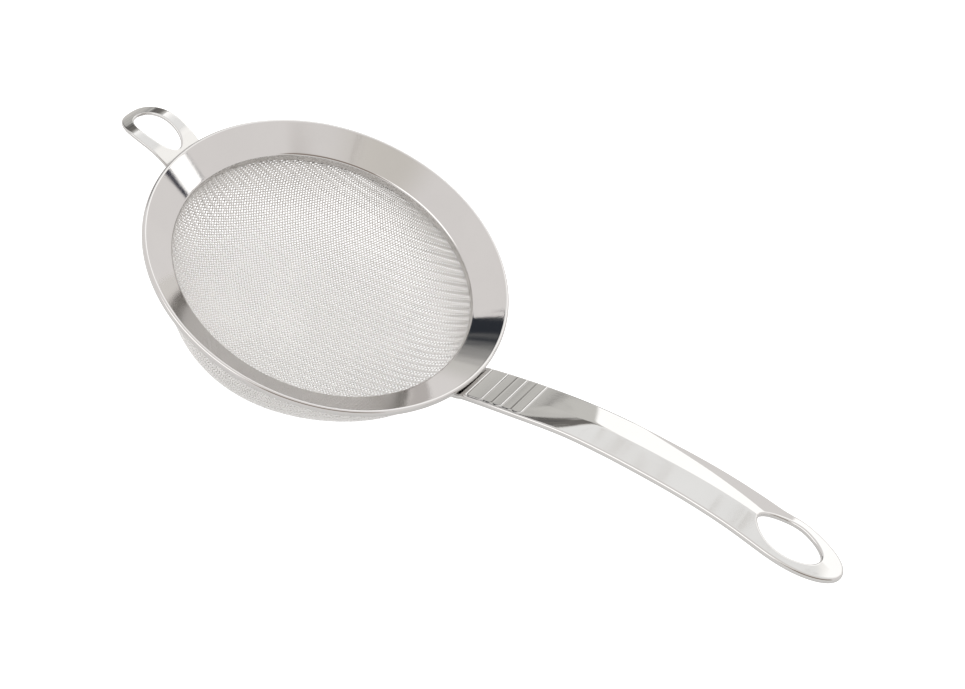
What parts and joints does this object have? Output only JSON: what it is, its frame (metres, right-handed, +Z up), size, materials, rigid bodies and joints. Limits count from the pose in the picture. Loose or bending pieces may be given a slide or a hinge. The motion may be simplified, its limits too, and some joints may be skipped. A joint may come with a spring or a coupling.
{
  "type": "tea strainer",
  "caption": "Round fine-mesh strainer with a conical flanged collar, a shallow wire-cloth bowl, a long curved plate handle with a hanging hole, and a small looped hook ear.",
  "frame": {"origin": "bottom centre of the bounding box, on the table the strainer lies on", "axes": "+X towards the handle's tip, +Z up from the table, with the strainer lying on its bowl and the handle's tip; the rim's own plane is tipped about 22 degrees down towards the handle"},
  "size_m": [0.1896, 0.0862, 0.0494],
  "materials": {
    "collar_steel": "mirror-polished stainless steel",
    "wire_cloth_steel": "drawn stainless wire, 2/2 twill weave",
    "ring_steel": "plain stainless strip",
    "handle_steel": "mirror-polished stainless steel",
    "ear_steel": "mirror-polished stainless steel"
  },
  "bodies": {
    "root": {"rim_collar": "collar_steel", "mesh_bowl": "wire_cloth_steel", "retaining_ring": "ring_steel", "handle": "handle_steel", "hook_ear": "ear_steel"}
  },
  "joints": []
}
